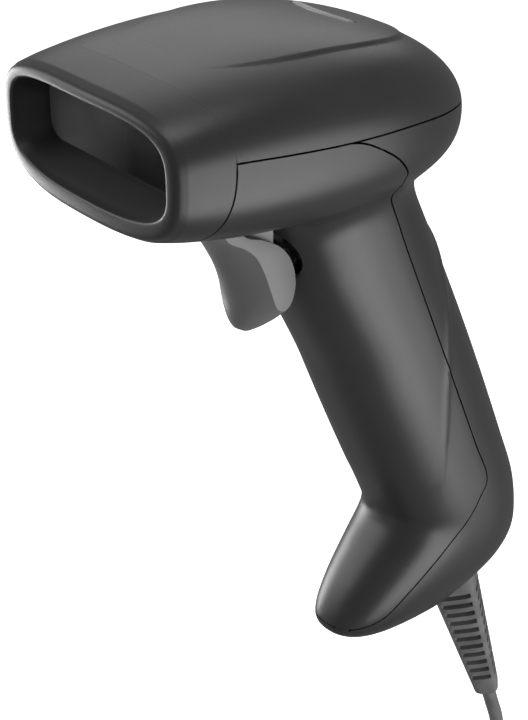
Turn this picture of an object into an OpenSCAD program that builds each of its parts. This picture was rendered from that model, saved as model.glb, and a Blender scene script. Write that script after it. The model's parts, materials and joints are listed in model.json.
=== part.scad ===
// Handheld barcode scanner: a wide, low head on a leaning grip, with a trigger, a scan engine
// behind a recessed window, and a corded tail that is put away as a coil under the grip.
// Axes: X across, with +X on the scanner's own left; -Y is the way the nose looks; +Z is up.
// The origin is the middle of the grip, where a hand closes round it.

/* [Head] */
// Length of the head, from the nose's rim to its back
head_l = 94; // [84:0.5:106]
// Greatest width of the head
head_w = 66.6; // [60:0.2:76]
// Width of the nose at its rim
nose_w = 61; // [54:0.5:68]
// Height of the nose at its rim
nose_h = 27.8; // [25:0.2:32]
// How far the top rises behind the rim
crown_rise = 4.5; // [3:0.1:6]
// How far the underside drops behind the rim
belly_drop = 7.8; // [6:0.1:9]
// Height of the rim's middle above the grip's middle
head_rise = 81; // [76:0.5:90]
// How far the rim stands ahead of the grip's middle
nose_reach = 89.4; // [84:0.2:98]
// Thickness of the moulded walls
wall = 2.2; // [1.8:0.1:2.6]
// Width of the open line between two covers
seam_gap = 0.3; // [0.2:0.05:0.5]

/* [Nose and window] */
// Width of the rim's flat lip
rim_lip = 3.2; // [2.6:0.1:4]
// How deep the window sits behind the rim
window_depth = 8.8; // [7:0.1:12]
// Width of the window that shows
window_w = 48; // [40:0.5:50]
// Height of the window that shows
window_h = 13.6; // [11:0.1:15]
// Thickness of the window
window_t = 1.6; // [1.2:0.1:2]
// How far the window is gripped past what shows
window_grip = 1.4; // [1:0.1:2]

/* [Grip] */
// Depth of the grip from front to back
grip_d = 42.5; // [38:0.5:48]
// Width of the grip
grip_w = 32.4; // [28:0.2:36]
// Lean of the grip from upright, in degrees
grip_lean = 23.4; // [18:0.2:27]
// Height where the grip meets the head
neck_z = 57.5; // [54:0.5:62]
// Height of the wrist, where the toe begins
wrist_z = -33.5; // [-40:0.5:-30]
// How far the toe reaches ahead of the wrist
toe_reach = 16.6; // [12:0.2:20]
// How far the toe hangs below the wrist
toe_drop = 35; // [31:0.5:40]
// How far the heel stands out behind the wrist
heel_out = 2.8; // [2:0.1:4]
// Distance from the grip's middle line back to the seam on its side
side_seam = 5.2; // [3:0.1:7]

/* [Trigger] */
// Width of the trigger
trigger_w = 19; // [16:0.2:20]
// Radius of the trigger's round side
trigger_r = 11.2; // [10:0.1:12]
// Height of the trigger's pivot above the grip's middle
pivot_z = 66.5; // [65.5:0.1:67.5]
// Radius of the pivot pin
pin_r = 1.5; // [1.2:0.05:1.8]
// Running clearance of the pin in the trigger
pin_play = 0.06; // [0.03:0.01:0.09]
// Gap between the trigger and the shell round it
trigger_gap = 1.8; // [1.6:0.1:2.4]

/* [Cable] */
// Diameter of the cable
cord_d = 4; // [3.4:0.1:4.6]
// Radius of the strain relief where it leaves the heel
boot_r = 5.9; // [5.4:0.1:7]
// Radius of the strain relief at its tip
boot_tip_r = 3; // [2.6:0.1:3.8]
// Length of the strain relief outside the heel
boot_l = 52; // [44:0.5:60]
// Lean of the strain relief from upright, in degrees
boot_lean = 20.1; // [16:0.1:24]

/* [Fasteners] */
// Radius of a housing screw's thread
screw_r = 1.25; // [1:0.05:1.5]
// Radius of a housing screw's head
screw_head_r = 2.5; // [2.2:0.1:3]
// Radius of an inner screw's thread
small_screw_r = 0.95; // [0.8:0.05:1.1]
// Radius of an inner screw's head
small_head_r = 1.9; // [1.6:0.1:2.2]
// Clearance round a screw in its hole
screw_play = 0.15; // [0.1:0.05:0.25]

/* [Hidden] */
$fn = 48;
eps = 0.01;
far = 200;

shell_grey = [0.30, 0.30, 0.31];
bezel_grey = [0.27, 0.27, 0.28];
trigger_grey = [0.47, 0.47, 0.48];
soft_black = [0.12, 0.12, 0.13];
steel = [0.72, 0.72, 0.74];
board_green = [0.10, 0.32, 0.20];

// Where the head's main lines lie.
rim_y = -nose_reach;
back_y = rim_y + head_l;
widest_y = rim_y + 0.41 * head_l;
crown_y = rim_y + 0.46 * head_l;
belly_y = rim_y + 0.56 * head_l;
rim_top = head_rise + nose_h / 2;
rim_low = head_rise - nose_h / 2;
crown_z = rim_top + crown_rise;
belly_z = rim_low - belly_drop;
tail_z = head_rise - 6.6;
belt_z = head_rise + 2;

// Shares of the head's length at which its cross-sections stand.
head_steps = [0, 0.07, 0.14, 0.27, 0.40, 0.53, 0.65, 0.755, 0.84, 0.91, 0.957, 0.986];

function bow(t) = 1 - t * t;
function fall(y, start, end, p) = pow(1 - pow(min(1, max(0, (y - start) / (end - start))), p), 0.5);
function head_half(y, in) = y < widest_y
    ? nose_w / 2 - in + (head_w - nose_w) / 2 * bow((widest_y - y) / (widest_y - rim_y))
    : (head_w / 2 - in) * fall(y, widest_y, back_y - in, 3);
function head_top(y, in) = y < crown_y
    ? rim_top - in + crown_rise * bow((crown_y - y) / (crown_y - rim_y))
    : tail_z + (crown_z - in - tail_z) * fall(y, crown_y, back_y - in, 2);
function head_low(y, in) = y < belly_y
    ? rim_low + in - belly_drop * bow((belly_y - y) / (belly_y - rim_y))
    : tail_z + (belly_z + in - tail_z) * fall(y, belly_y, back_y - in, 3.4);
function head_mid(y) = belt_z + (tail_z - belt_z) * pow(min(1, max(0, (y - rim_y) / head_l)), 3);

// A closed outline that is squarer than an ellipse by the power n.
function power(v, n) = sign(v) * pow(abs(v), 2 / n);
function squircle(half, up, down, n_up, n_down, count = 40) =
    [for (i = [0 : count - 1]) let (a = 360 * i / count)
        [half * power(cos(a), a < 180 ? n_up : n_down),
         a < 180 ? up * power(sin(a), n_up) : down * power(sin(a), n_down)]];
function round_box(w, h, r, count = 6) =
    [for (q = [0 : 3], i = [0 : count]) let (a = 90 * (q + i / count),
        cx = (q == 0 || q == 3 ? 1 : -1) * (w / 2 - r), cy = (q < 2 ? 1 : -1) * (h / 2 - r))
        [cx + r * cos(a), cy + r * sin(a)]];

module upright_slice(y) translate([0, y + eps, 0]) rotate([90, 0, 0]) linear_extrude(eps) children();

module head_slice(share, in) {
    y = min(rim_y + share * head_l, rim_y + share * (head_l - in));
    mid = head_mid(y);
    n_up = 3.4 - 1.2 * share;
    n_down = 3.2 - 1.1 * share;
    upright_slice(y) translate([0, mid])
        polygon(squircle(head_half(y, in), head_top(y, in) - mid, mid - head_low(y, in), n_up, n_down));
}

module head_form(in) {
    for (i = [0 : len(head_steps) - 2])
        hull() {
            head_slice(head_steps[i], in);
            head_slice(head_steps[i + 1], in);
        }
}

// The grip: level sections down its leaning middle line, then a fan that swings out to the toe.
grip_mid_z = 3;
collar_swell = 2.4;
function grip_y(z) = -z * tan(grip_lean);
function grip_half(z) = grip_d / 2 - 1.3 * pow((z - grip_mid_z) / 45, 2);
function ease(t) = let (u = min(1, max(0, t))) u * u * (3 - 2 * u);
function grip_front(z) = grip_y(z) - grip_half(z) - collar_swell * ease((z - grip_mid_z - 7) / 30);
function grip_back(z) = grip_y(z) + grip_half(z);
collar_rise = 9;
grip_levels = 7;
// Each row: front out and down, back out and down, and width, as shares of the toe's own sizes.
toe_fan = [[-0.08, 0.16, 0.80, 0.33, 0.98], [0.31, 0.39, 1.00, 0.53, 0.94], [0.70, 0.61, 0.10, 0.69, 0.87],
           [0.97, 0.81, -1.50, 0.80, 0.77], [1.00, 0.91, -3.60, 0.91, 0.65], [0.76, 1.00, -5.40, 1.00, 0.53]];
function collar() = let (z = neck_z + collar_rise)
    [[grip_front(z), z], [grip_back(z) + 4, z], grip_w / 2 + 1.6];
function grip_station(k) = let (z = neck_z + (wrist_z - neck_z) * k / grip_levels)
    [[grip_front(z), z], [grip_back(z), z], grip_w / 2];
function toe_station(t) =
    [[grip_front(wrist_z) - toe_reach * t[0], wrist_z - toe_drop * t[1]],
     [grip_back(wrist_z) + heel_out * t[2], wrist_z - toe_drop * t[3]], grip_w / 2 * t[4]];
grip_stations = concat([collar()], [for (k = [0 : grip_levels]) grip_station(k)],
                       [for (t = toe_fan) toe_station(t)]);
sole_z = wrist_z - toe_drop;

module grip_slice(s, in) {
    front = s[0];
    back = s[1];
    span = norm(back - front);
    tilt = atan2(back[1] - front[1], back[0] - front[0]);
    lift = max(0, sole_z + in - min(front[1], back[1]));
    translate([0, (front[0] + back[0]) / 2, (front[1] + back[1]) / 2 + lift]) rotate([tilt, 0, 0])
        linear_extrude(eps) rotate(90)
            polygon(squircle(span / 2 - in, s[2] - in, s[2] - in, 2.6, 2.6));
}

module grip_form(in) {
    for (i = [0 : len(grip_stations) - 2])
        hull() {
            grip_slice(grip_stations[i], in);
            grip_slice(grip_stations[i + 1], in);
        }
}

module outer_form() {
    head_form(0);
    grip_form(0);
}

module skin() {
    difference() {
        outer_form();
        head_form(wall);
        grip_form(wall);
    }
}

// A side-view outline (Y, Z) drawn through the whole width.
module side_cut(half = far) rotate([90, 0, 90]) translate([0, 0, -half]) linear_extrude(2 * half) children();

// Side views of the three seams.
bezel_seam_r = 32;
bezel_seam_y = rim_y + 14.4;
module bezel_region() translate([bezel_seam_y - bezel_seam_r, belt_z + 1]) circle(bezel_seam_r, $fn = 120);
belt_line = [[rim_y - 5, belt_z + 3.2], [rim_y + 14, belt_z + 2.4], [rim_y + 27, belt_z + 1],
             [rim_y + 42, belt_z], [rim_y + 66, belt_z - 0.6], [rim_y + 81, belt_z - 2.4],
             [back_y + 2, belt_z - 5.4]];
module cover_region() polygon(concat(belt_line,
    [[far, belt_z - 5.4], [far, far], [-far, far], [-far, belt_z + 3.2]]));
// The lower shells part along the pod's round end, then down the grip and out at the toe.
pod_line = [[rim_y + 38, belt_z + 0.2], [rim_y + 44, belt_z - 1.8], [rim_y + 50, belt_z - 3.3],
            [rim_y + 54, belt_z - 5.5], [rim_y + 58, belt_z - 8.3], [rim_y + 61.5, belt_z - 12.2],
            [rim_y + 62.6, belt_z - 15.6]];
seam_top_z = neck_z - 2;
seam_low_z = wrist_z + 6;
heel_seam_r = 12;
seam_line = [for (k = [0 : 8]) let (z = seam_top_z + (seam_low_z - seam_top_z) * k / 8)
             [grip_y(z) + side_seam, z]];
heel_line = [for (a = [0 : 20 : 60])
             [grip_y(seam_low_z) + side_seam - heel_seam_r * (1 - cos(a)),
              seam_low_z - heel_seam_r * sin(a)]];
toe_front = [grip_front(wrist_z) - toe_reach - 3, wrist_z - toe_drop * 0.78];
module rear_region() polygon(concat(pod_line, seam_line, heel_line,
    [toe_front, [-far, toe_front[1] - 3], [-far, -far], [far, -far], [far, far], [rim_y + 38, far]]));

// The trigger and the slot that it works in.
trig_z = pivot_z - 23.3;
trig_y = grip_front(trig_z) - trigger_r + 0.6;
pivot_y = trig_y + 2.8;
slot_half = trigger_w / 2 + 0.8;
module trigger_slot() {
    side_cut(slot_half) {
        translate([trig_y, trig_z]) circle(trigger_r + trigger_gap, $fn = 90);
        translate([pivot_y - 13.6, trig_z + 4]) square([19.4, pivot_z - trig_z]);
    }
    side_cut(lug_half + 1) translate([pivot_y, lug_z - 4.5]) square([14, 9]);
    translate([0, trig_y, spring_z]) rotate([-90, 0, 0]) cylinder(r = spring_r + 0.9, h = leg_y - trig_y);
}

// Screw places: [x, y, z] of two bosses across the grip, and [x, y] of two under the head.
grip_screw_z = [22, -22];
grip_boss_r = 3.4;
grip_screw_seat = 8;
cover_boss_r = 3;
cover_post_r = 3.4;
cover_boss_up = 8;
cover_screw_x = 17;
cover_screw_y = -9;
cover_screw_z = belly_z + 8.6;
chassis_screw_at = [16, -54.5];
chassis_z = head_rise - 11;
chassis_t = 2;
boss_gap = 0.2;

module at_chassis_screws() for (s = [-1, 1])
    translate([s * chassis_screw_at[0], chassis_screw_at[1], 0]) children();
module at_cover_screws() for (s = [-1, 1]) translate([s * cover_screw_x, cover_screw_y, 0]) children();
module at_grip_screws() for (z = grip_screw_z)
    translate([0, grip_y(z) + side_seam, z]) rotate([-90, 0, 0]) children();

light_w = 19;
light_d = 2;
light_y = -25.5;
module top_cover() {
    color(shell_grey) difference() {
        union() {
            intersection() {
                skin();
                side_cut() cover_region();
            }
            intersection() {
                head_form(wall / 2);
                at_cover_screws() translate([0, 0, cover_screw_z + cover_boss_up])
                    cylinder(r = cover_boss_r, h = 40);
            }
        }
        side_cut() offset(delta = seam_gap) bezel_region();
        at_cover_screws() translate([0, 0, cover_screw_z]) cylinder(r = screw_r + screw_play, h = 18);
        translate([0, light_y, crown_z]) cube([light_w + 0.4, light_d + 0.4, 20], center = true);
    }
}

// The recess: a funnel from the rim's lip down to the window.
opening_half = nose_w / 2 - rim_lip;
opening_top = rim_top - rim_lip;
opening_low = rim_low + rim_lip;
window_y = rim_y + window_depth;
window_z = head_rise + 1.6;
module funnel(grow) {
    hull() {
        upright_slice(rim_y - eps) translate([0, head_rise])
            polygon(squircle(opening_half + grow, opening_top - head_rise + grow,
                             head_rise - opening_low + grow, 3.6, 3.4));
        upright_slice(window_y) translate([0, window_z])
            polygon(round_box(window_w + 2 * grow, window_h + 2 * grow, 4 + grow));
    }
}
gasket_t = 1;
module nose_bezel() {
    seat = window_grip + wall;
    color(bezel_grey) difference() {
        union() {
            intersection() {
                skin();
                side_cut() bezel_region();
            }
            intersection() {
                head_form(0.05);
                funnel(wall);
            }
            translate([0, window_y - wall, 0]) window_block(seat, wall + window_t + gasket_t);
        }
        funnel(0);
        translate([0, window_y, 0]) window_block(window_grip + 0.15, window_t + gasket_t + 1);
    }
}
module window_block(grow, t) translate([0, t, window_z]) rotate([90, 0, 0]) linear_extrude(t)
    polygon(round_box(window_w + 2 * grow, window_h + 2 * grow, 4 + grow));

module front_shell() {
    color(shell_grey) difference() {
        union() {
            difference() {
                skin();
                side_cut() offset(delta = seam_gap) bezel_region();
                side_cut() offset(delta = seam_gap) cover_region();
                side_cut() offset(delta = seam_gap) rear_region();
            }
            intersection() {
                outer_form();
                union() {
                    at_chassis_screws() translate([0, 0, belly_z]) cylinder(r = 3.2, h = chassis_z - belly_z);
                    at_grip_screws() translate([0, 0, -grip_d / 2 - side_seam])
                        cylinder(r = grip_boss_r, h = grip_d / 2 + side_seam - boss_gap);
                }
            }
        }
        trigger_slot();
        at_chassis_screws() translate([0, 0, chassis_z - 6]) cylinder(r = screw_r + screw_play, h = 10);
        at_grip_screws() translate([0, 0, -10]) cylinder(r = screw_r + screw_play, h = 14);
    }
}

// The strain relief's axis: its tip, and distances back up it.
boot_root = [grip_back(wrist_z) - 12.56, sole_z + 2.33];
boot_dir = [sin(boot_lean), -cos(boot_lean)];
boot_tip = boot_root + boot_l * boot_dir;
module on_boot(s) translate([0, boot_tip[0], boot_tip[1]]) rotate([boot_lean, 0, 0])
    translate([0, 0, s]) children();

boot_hole_play = 0.35;
module rear_shell() {
    color(shell_grey) difference() {
        union() {
            difference() {
                intersection() {
                    skin();
                    side_cut() rear_region();
                }
                side_cut() offset(delta = seam_gap) cover_region();
                side_cut() offset(delta = seam_gap) bezel_region();
            }
            intersection() {
                grip_form(0);
                at_grip_screws() cylinder(r = grip_boss_r, h = grip_d / 2);
            }
            intersection() {
                head_form(0);
                at_cover_screws() translate([0, 0, belly_z])
                    cylinder(r = cover_post_r, h = cover_screw_z + cover_boss_up - boss_gap - belly_z);
            }
        }
        at_grip_screws() {
            translate([0, 0, -1]) cylinder(r = screw_r + screw_play + 0.2, h = 30);
            translate([0, 0, grip_screw_seat]) cylinder(r = screw_head_r + 0.3, h = 30);
        }
        at_cover_screws() {
            translate([0, 0, belly_z - 1]) cylinder(r = screw_r + screw_play + 0.2, h = 30);
            translate([0, 0, belly_z - 10])
                cylinder(r = screw_head_r + 0.3, h = 10 + cover_screw_z - belly_z);
        }
        on_boot(boot_l - 14) cylinder(r = boot_r + boot_hole_play, h = 30);
    }
}

module screw(r, head_r, l) {
    translate([0, 0, -l]) cylinder(r = r, h = l);
    difference() {
        cylinder(r = head_r, h = head_r * 0.7);
        translate([0, 0, head_r * 0.35]) cylinder(r = head_r * 0.5, h = head_r, $fn = 6);
    }
}
module housing_screws() {
    color(steel) {
        at_grip_screws() translate([0, 0, grip_screw_seat]) screw(screw_r, screw_head_r, 16);
        at_cover_screws() translate([0, 0, cover_screw_z]) mirror([0, 0, 1]) screw(screw_r, screw_head_r, 16);
    }
}

// A clear bar flush with the cover, on a stem that stands over the status lamp.
module status_light_pipe() {
    color([0.85, 0.87, 0.86, 0.8]) {
        side_cut(light_w / 2) translate([light_y - light_d / 2, light_top() - 3.2]) square([light_d, 3.2]);
        side_cut(2) translate([light_y - light_d / 2, lamp_top + 0.3])
            square([light_d, light_top() - 3.2 - lamp_top - 0.3]);
    }
}
function light_top() = head_top(light_y, 0) - 0.1;

module scan_window() {
    color([0.08, 0.08, 0.10, 0.9]) translate([0, window_y, 0]) window_block(window_grip, window_t);
}
module window_gasket() {
    color(soft_black) translate([0, window_y + window_t, 0]) difference() {
        window_block(window_grip, gasket_t);
        translate([0, -1, 0]) window_block(-0.8, gasket_t + 2);
    }
}

// The chassis: a tray with ears for the trigger's pin, a leg behind the trigger and two rows of posts.
ear_gap = 7.5;
ear_t = 2.2;
leg_y = -34.4;
leg_t = 2;
leg_half = 6.5;
leg_low = 40.5;
tray_half = 20;
tray_y = [-70, -26];
board_z = head_rise - 1;
board_t = 1.6;
board_post = [16, -46, -31];
engine_post = [14.6, -65];
engine_z = window_z - 7.5;
post_r = 2.5;
pilot_l = 5;
module at_board_posts() for (s = [-1, 1], y = [board_post[1], board_post[2]])
    translate([s * board_post[0], y, 0]) children();
module at_engine_screws() for (s = [-1, 1]) translate([s * engine_post[0], engine_post[1], 0]) children();
module chassis() {
    color([0.16, 0.16, 0.17]) difference() {
        union() {
            translate([-tray_half, tray_y[0], chassis_z])
                cube([2 * tray_half, tray_y[1] - tray_y[0], chassis_t]);
            at_board_posts() translate([0, 0, chassis_z]) cylinder(r = post_r, h = board_z - chassis_z);
            at_engine_screws() translate([0, 0, chassis_z])
                cylinder(r = post_r, h = engine_z + 2 - chassis_z);
            for (s = [-1, 1]) translate([s * (ear_gap + ear_t / 2) - ear_t / 2, pivot_y, 0]) {
                rotate([90, 0, 90]) translate([0, pivot_z, 0]) cylinder(r = 3.6, h = ear_t);
                translate([0, -3.6, pivot_z]) cube([ear_t, 7.2, chassis_z + eps - pivot_z]);
            }
            translate([-leg_half, leg_y, leg_low]) cube([2 * leg_half, leg_t, chassis_z - leg_low + eps]);
        }
        rotate([90, 0, 90]) translate([pivot_y, pivot_z, -far]) cylinder(r = pin_r + 0.02, h = 2 * far);
        at_board_posts() translate([0, 0, board_z - pilot_l])
            cylinder(r = small_screw_r + 0.05, h = pilot_l + 1);
        at_engine_screws() translate([0, 0, engine_z + 2 - pilot_l])
            cylinder(r = small_screw_r + 0.05, h = pilot_l + 1);
        at_chassis_screws() translate([0, 0, chassis_z - 1]) cylinder(r = screw_r + 0.3, h = chassis_t + 2);
    }
}
module chassis_screws() {
    color(steel) at_chassis_screws() translate([0, 0, chassis_z + chassis_t])
        screw(screw_r, screw_head_r, chassis_t + 5);
}

// The trigger: a round-backed finger piece, hollowed in front, on a neck that hangs from the pin.
scoop_r = 18;
lug_half = 4;
lug_y = pivot_y + 7.8;
lug_z = pivot_z - 15;
spring_z = pivot_z - 23.5;
spring_r = 2.1;
module trigger_outline() {
    difference() {
        union() {
            translate([trig_y, trig_z]) circle(trigger_r, $fn = 90);
            translate([trig_y - 2.6, trig_z - trigger_r + 0.4]) circle(2.4);
            translate([trig_y - 8.6, trig_z + 7]) square([13, 8]);
        }
        translate([trig_y - 19.9, trig_z - 0.2]) circle(scoop_r, $fn = 90);
    }
}
module trigger() {
    color(trigger_grey) difference() {
        union() {
            side_cut(trigger_w / 2) trigger_outline();
            side_cut(ear_gap - 0.3) {
                translate([pivot_y, pivot_z]) circle(3.4);
                translate([pivot_y - 3.4, trig_z + 6]) square([6.8, pivot_z - trig_z - 6]);
            }
            side_cut(lug_half) translate([pivot_y, lug_z - 2.5]) square([lug_y - pivot_y, 5.5]);
        }
        side_cut() translate([pivot_y, pivot_z]) circle(pin_r + pin_play);
        translate([0, trig_y + trigger_r - 3.4, spring_z]) rotate([-90, 0, 0])
            cylinder(r = spring_r + 0.5, h = 10);
    }
}
module trigger_pin() {
    color(steel) side_cut(ear_gap + ear_t) translate([pivot_y, pivot_z]) circle(pin_r);
}

// A helical spring from the trigger's pocket to the chassis leg.
spring_turns = 6;
spring_wire = 0.25;
spring_steps = 12;
spring_y0 = trig_y + trigger_r - 3.4 + spring_wire;
spring_y1 = leg_y - spring_wire;
function coil_point(i) = let (a = 360 * i / spring_steps, r = spring_r - spring_wire)
    [r * cos(a), spring_y0 + (spring_y1 - spring_y0) * i / (spring_turns * spring_steps),
     spring_z + r * sin(a)];
module trigger_spring() {
    color(steel) sweep([for (i = [0 : spring_turns * spring_steps]) coil_point(i)], spring_wire, 6);
}

// A tube of round section along a list of points.
function unit(v) = v / norm(v);
function heading(p, i) = unit(p[min(i + 1, len(p) - 1)] - p[max(i - 1, 0)]);
function side_of(t) = unit(abs(t[0]) > 0.9 ? cross(t, [0, 1, 0]) : cross(t, [1, 0, 0]));
function ring(p, i, r, n) = let (t = heading(p, i), u = side_of(t), v = cross(t, u))
    [for (k = [0 : n - 1]) p[i] + r * (u * cos(360 * k / n) + v * sin(360 * k / n))];
module sweep(p, r, n) {
    last = len(p) - 1;
    points = [for (i = [0 : last]) each ring(p, i, r, n)];
    walls = [for (i = [0 : last - 1], k = [0 : n - 1]) let (a = i * n + k, b = i * n + (k + 1) % n)
             each [[a, b + n, b], [a, a + n, b + n]]];
    start = [for (k = [0 : n - 1]) k];
    end = [for (k = [n - 1 : -1 : 0]) last * n + k];
    polyhedron(points, concat([start], walls, [end]), convexity = 10);
}

switch_h = 6;
switch_front = lug_y + 1.7;
plunger_r = 1.1;
module trigger_switch() {
    color(soft_black) difference() {
        translate([-3.2, switch_front, lug_z - switch_h / 2]) cube([6.4, leg_y - switch_front, switch_h]);
        translate([0, switch_front - 1, lug_z]) rotate([-90, 0, 0]) cylinder(r = plunger_r + 0.1, h = 4);
    }
}
module switch_plunger() {
    color([0.75, 0.12, 0.10]) translate([0, lug_y + 0.15, lug_z]) rotate([-90, 0, 0])
        cylinder(r = plunger_r, h = 3);
}

// The scan engine: a box open at the back, closed by its board, with the lens, lamps and aimer in front.
engine_w = 24;
engine_h = 15;
engine_y = window_y + window_t + gasket_t + 3.2;
engine_l = 16;
engine_wall = 2;
barrel_r = 3.6;
aimer_r = 2;
led_r = 1.7;
engine_mid = engine_z + engine_h / 2;
led_spots = [[-8, 3.6], [-8, -3.6]];
module facing_front(x, z) translate([x, engine_y, engine_mid + z]) rotate([90, 0, 0]) children();
module engine_housing() {
    color([0.20, 0.20, 0.22]) difference() {
        union() {
            translate([-engine_w / 2, engine_y, engine_z]) cube([engine_w, engine_l, engine_h]);
            translate([-17.4, engine_post[1] - 3.2, engine_z + 2]) cube([34.8, 6.4, 2]);
        }
        translate([-engine_w / 2 + engine_wall, engine_y + engine_wall, engine_z + engine_wall])
            cube([engine_w - 2 * engine_wall, engine_l, engine_h - 2 * engine_wall]);
        facing_front(0, 0) translate([0, 0, -10]) cylinder(r = barrel_r + 0.05, h = 20);
        facing_front(8, 0) translate([0, 0, -10]) cylinder(r = aimer_r + 0.05, h = 20);
        for (p = led_spots)
            facing_front(p[0], p[1]) translate([0, 0, -10]) cylinder(r = led_r + 0.05, h = 20);
        at_engine_screws() cylinder(r = small_screw_r + 0.25, h = far);
    }
}
module lens_barrel() {
    color([0.10, 0.10, 0.11]) facing_front(0, 0) difference() {
        translate([0, 0, -6]) cylinder(r = barrel_r, h = 8.6);
        translate([0, 0, -8]) cylinder(r = barrel_r - 1, h = 20);
    }
}
module lens_glass() {
    color([0.35, 0.40, 0.55, 0.6]) facing_front(0, 0) cylinder(r = barrel_r - 1.02, h = 1.2);
}
module image_sensor() {
    color([0.18, 0.20, 0.26]) translate([-4, engine_y + engine_l - 1.2, engine_mid - 3]) cube([8, 1.2, 6]);
}
module aimer_lens() {
    color([0.55, 0.10, 0.10, 0.7]) facing_front(8, 0) translate([0, 0, -3]) cylinder(r = aimer_r, h = 3.6);
}
module illumination_leds() {
    color([0.95, 0.93, 0.80]) for (p = led_spots)
        facing_front(p[0], p[1]) translate([0, 0, -3]) cylinder(r = led_r, h = 3.8);
}
engine_board_t = 1.2;
module engine_board() {
    color(board_green) translate([-engine_w / 2, engine_y + engine_l, engine_z])
        cube([engine_w, engine_board_t, engine_h]);
}
flex_half = 5;
flex_t = 0.3;
module engine_flex() {
    y0 = engine_y + engine_l + engine_board_t;
    y1 = board_front;
    z0 = engine_mid + 5;
    color([0.75, 0.45, 0.12]) side_cut(flex_half) {
        translate([y0, z0 - 3]) square([flex_t, 3 + flex_t]);
        translate([y0, z0]) square([y1 + 3 - y0, flex_t]);
        translate([y1 + 3 - flex_t, board_top]) square([flex_t, z0 + flex_t - board_top]);
        translate([y1 + 3 - flex_t, board_top]) square([3, flex_t]);
    }
}
module engine_screws() {
    color(steel) at_engine_screws() translate([0, 0, engine_z + 4]) screw(small_screw_r, small_head_r, 6);
}

// The main board and what stands on it.
board_front = engine_y + engine_l + 4;
board_back = -14.5;
board_half = 20;
board_top = board_z + board_t;
lamp_top = board_top + 1;
module main_board() {
    color(board_green) difference() {
        translate([-board_half, board_front, board_z])
            cube([2 * board_half, board_back - board_front, board_t]);
        at_board_posts() cylinder(r = small_screw_r + 0.2, h = far);
    }
}
module board_chips() {
    color([0.08, 0.08, 0.09]) translate([0, 0, board_top]) {
        translate([-5, -42, 0]) cube([11, 11, 1.3]);
        translate([7, -28, 0]) cube([6, 8, 1.1]);
        translate([-12, -38, 0]) cube([4, 5, 1]);
    }
}
module status_led() {
    color([0.6, 0.9, 0.6]) translate([-1.6, light_y - 1, board_top]) cube([3.2, 2, 1]);
}
module beeper() {
    color(soft_black) translate([-11, -21, board_top]) difference() {
        cylinder(r = 6, h = 4.5);
        translate([0, 0, 3]) cylinder(r = 1, h = 3);
    }
}
module board_screws() {
    color(steel) at_board_posts() translate([0, 0, board_top])
        screw(small_screw_r, small_head_r, board_t + 3.5);
}
socket_at = [8, -18];
module board_socket() {
    color([0.90, 0.88, 0.80]) translate([socket_at[0] - 5, socket_at[1] - 3, board_z - 5]) cube([10, 6, 5]);
}

// The cable's inner end: a lead down the grip to a socket that holds the cable's plug.
lead_r = 1.5;
jack_s = boot_l + 22;
jack_l = 14;
function on_axis(s) = boot_tip - s * boot_dir;
lead_low = on_axis(jack_s + jack_l);
inner_route = concat(
    [[5, lead_low[0], lead_low[1]], [5.5, lead_low[0] - 1.6, lead_low[1] + 5]],
    [for (z = [-18, -8, 2, 12, 22, 32, 42, 52]) [7.5, grip_y(z) + 4.5, z]],
    [[8, socket_at[1] + 2, 62], [8, socket_at[1] + 0.6, 69], [8, socket_at[1], board_z - 5]]);
module inner_lead() {
    color(soft_black) sweep(inner_route, lead_r, 8);
}
module cable_socket() {
    color([0.14, 0.14, 0.15]) on_boot(jack_s - 9) difference() {
        translate([-8, -6.5, 0]) cube([16, 13, 9 + jack_l]);
        translate([-6.1, -4.6, -1]) cube([12.2, 9.2, 19]);
    }
}
module cable_plug() {
    color([0.80, 0.82, 0.84, 0.8]) on_boot(boot_l + 8) translate([-5.9, -4.4, 0]) cube([11.8, 8.8, 20]);
}
groove_count = 9;
groove_pitch = 2.6;
function boot_radius(s) = boot_tip_r + (boot_r - boot_tip_r) * min(1, s / (boot_l - 4));
module strain_relief() {
    first = 9;
    grooves = [for (k = [0 : groove_count - 1]) let (s = first + k * groove_pitch, r = boot_radius(s))
               each [[r, s], [r - 0.8, s], [r - 0.8, s + 1], [boot_radius(s + 1), s + 1]]];
    color(soft_black) on_boot(0) {
        rotate_extrude() polygon(concat([[0, 0], [boot_tip_r, 0]], grooves,
            [[boot_r, boot_l - 4], [boot_r, boot_l + 5], [boot_r + 1.6, boot_l + 5],
             [boot_r + 1.6, boot_l + 8], [0, boot_l + 8]]));
    }
}

// The free cable. It leaves the strain relief, bends under the grip and runs into a flat coil.
cord_r = cord_d / 2;
lead_route = [[0, 40.2, -115], [0, 41.6, -118.8], [0, 42.9, -122.5], [0, 44.3, -126.3], [0, 45.3, -130],
              [0, 45.8, -134], [0, 45.6, -138], [0, 44.6, -142], [0, 42.9, -146.4], [0, 39.9, -150.8],
              [0, 36.2, -154.4], [0, 31.7, -157.2], [0, 26.8, -159.1], [0, 21.6, -160], [0, 18, -160]];
tail_route = [[0, 18, -156], [0, 12, -156], [0, 6, -156.1], [0, 0, -156.4], [0, -6, -156.9], [0, -12, -157.5],
              [0, -18, -158.1], [0, -24, -158.6], [0, -30, -158.9], [0, -36, -159]];
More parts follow.
